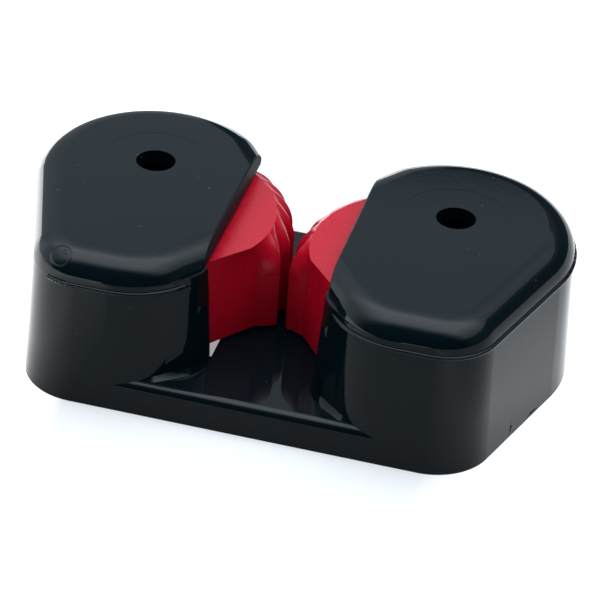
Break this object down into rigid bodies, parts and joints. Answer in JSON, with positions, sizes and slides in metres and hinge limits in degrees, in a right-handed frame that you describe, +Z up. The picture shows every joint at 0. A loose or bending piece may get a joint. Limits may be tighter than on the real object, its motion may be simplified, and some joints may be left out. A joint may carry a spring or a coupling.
{
  "type": "cam cleat",
  "caption": "Low moulded cam cleat: sprung toothed cams in a domed one-piece housing grip a rope that runs through the channel between them.",
  "frame": {"origin": "on the deck face, halfway between the two screw holes", "axes": "+X from the left screw hole to the right one, +Y towards the rope's load, -Y towards the sailor, +Z up off the deck"},
  "size_m": [0.0688, 0.0408, 0.0199],
  "materials": {
    "housing_plastic": "gloss black moulding",
    "cam_plastic": "gloss deep red moulding",
    "sleeve_steel": "turned stainless steel",
    "retainer_plastic": "matt dark moulding",
    "spring_steel": "drawn stainless wire"
  },
  "bodies": {
    "base": {"housing": "housing_plastic", "left_sleeve": "sleeve_steel", "right_sleeve": "sleeve_steel", "left_retainer": "retainer_plastic", "right_retainer": "retainer_plastic", "left_spring": "spring_steel", "right_spring": "spring_steel"},
    "left_cam_body": {"left_cam": "cam_plastic"},
    "right_cam_body": {"right_cam": "cam_plastic"}
  },
  "joints": [
    {"name": "left_cam_pivot", "type": "hinge", "parent": "base", "child": "left_cam_body", "pos_m": [-0.019, 0, 0.0108], "axis": [0, 0, -1], "range_deg": [0, 40], "stiffness_Nm_per_rad": 0.02, "springref_deg": -34.38, "deforming": ["left_spring"]},
    {"name": "right_cam_pivot", "type": "hinge", "parent": "base", "child": "right_cam_body", "pos_m": [0.019, 0, 0.0108], "axis": [0, 0, 1], "range_deg": [0, 40], "stiffness_Nm_per_rad": 0.02, "springref_deg": -34.38, "deforming": ["right_spring"]}
  ]
}
